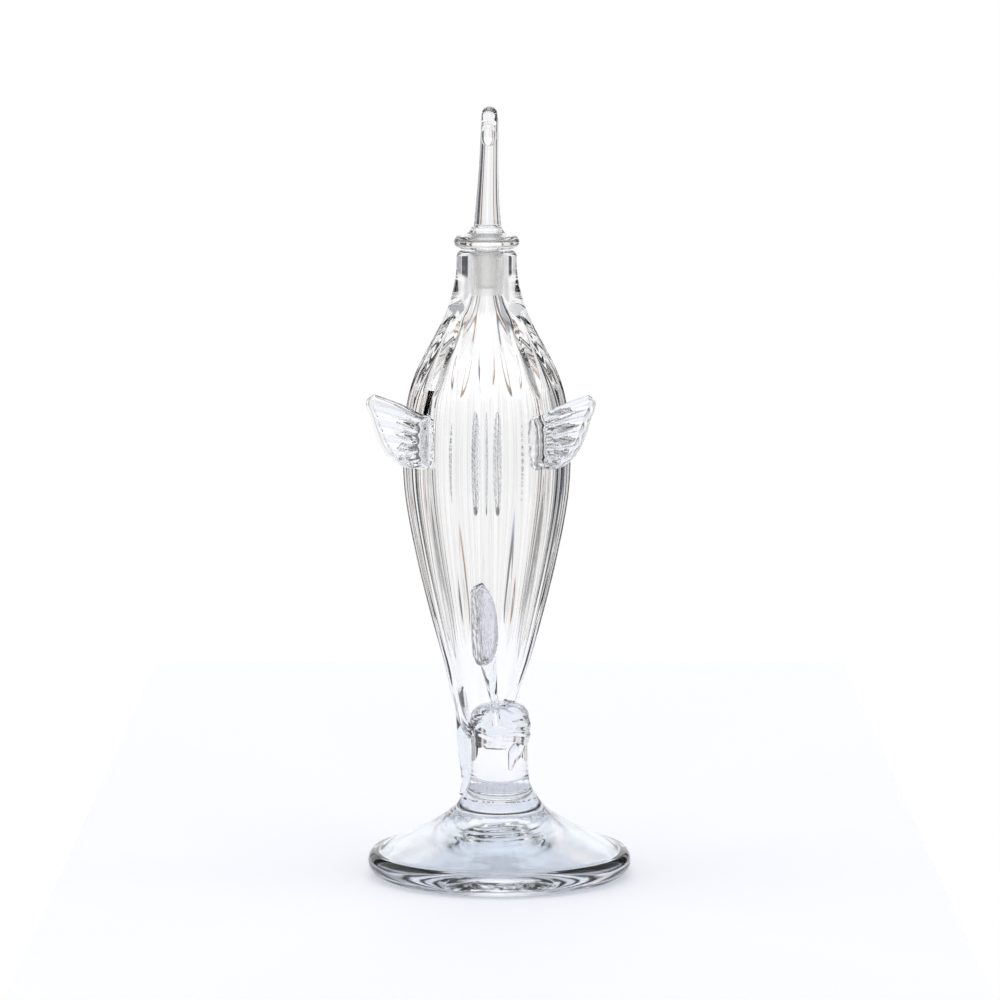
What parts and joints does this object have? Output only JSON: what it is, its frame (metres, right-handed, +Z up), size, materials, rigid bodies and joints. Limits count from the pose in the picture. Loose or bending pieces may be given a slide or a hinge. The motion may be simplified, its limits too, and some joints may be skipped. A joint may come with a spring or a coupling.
{
  "type": "stoppered glass trap bottle",
  "caption": "Footed, ribbed clear glass bottle with a ground lift-out stopper, hot-worked wings and fins, and a spread foot.",
  "frame": {"origin": "centre of the foot's resting ring, on the surface that the bottle stands on", "axes": "+Z up along the foot and stem, -Y towards the side with the low front fin, +X to the right seen from there"},
  "size_m": [0.12, 0.12, 0.3492],
  "materials": {
    "clear_glass": "mouth-blown and hot-worked crystal glass, fire-polished",
    "ground_glass": "ground, frosted"
  },
  "bodies": {
    "bottle": {"foot": "clear_glass", "stem": "clear_glass", "collar": "clear_glass", "collar_drip": "clear_glass", "tail_strap": "clear_glass", "bottle": "clear_glass", "left_wing": "clear_glass", "right_wing": "clear_glass", "back_fin": "clear_glass", "front_fin": "clear_glass", "fin_strand": "clear_glass"},
    "stopper": {"stopper_plug": "ground_glass", "stopper_flange": "clear_glass", "stopper_finial": "clear_glass", "finial_tip": "clear_glass"}
  },
  "joints": [
    {"name": "stopper_lift", "type": "slide", "parent": "bottle", "child": "stopper", "axis": [0, 0, 1], "range_m": [0, 0.06]}
  ]
}
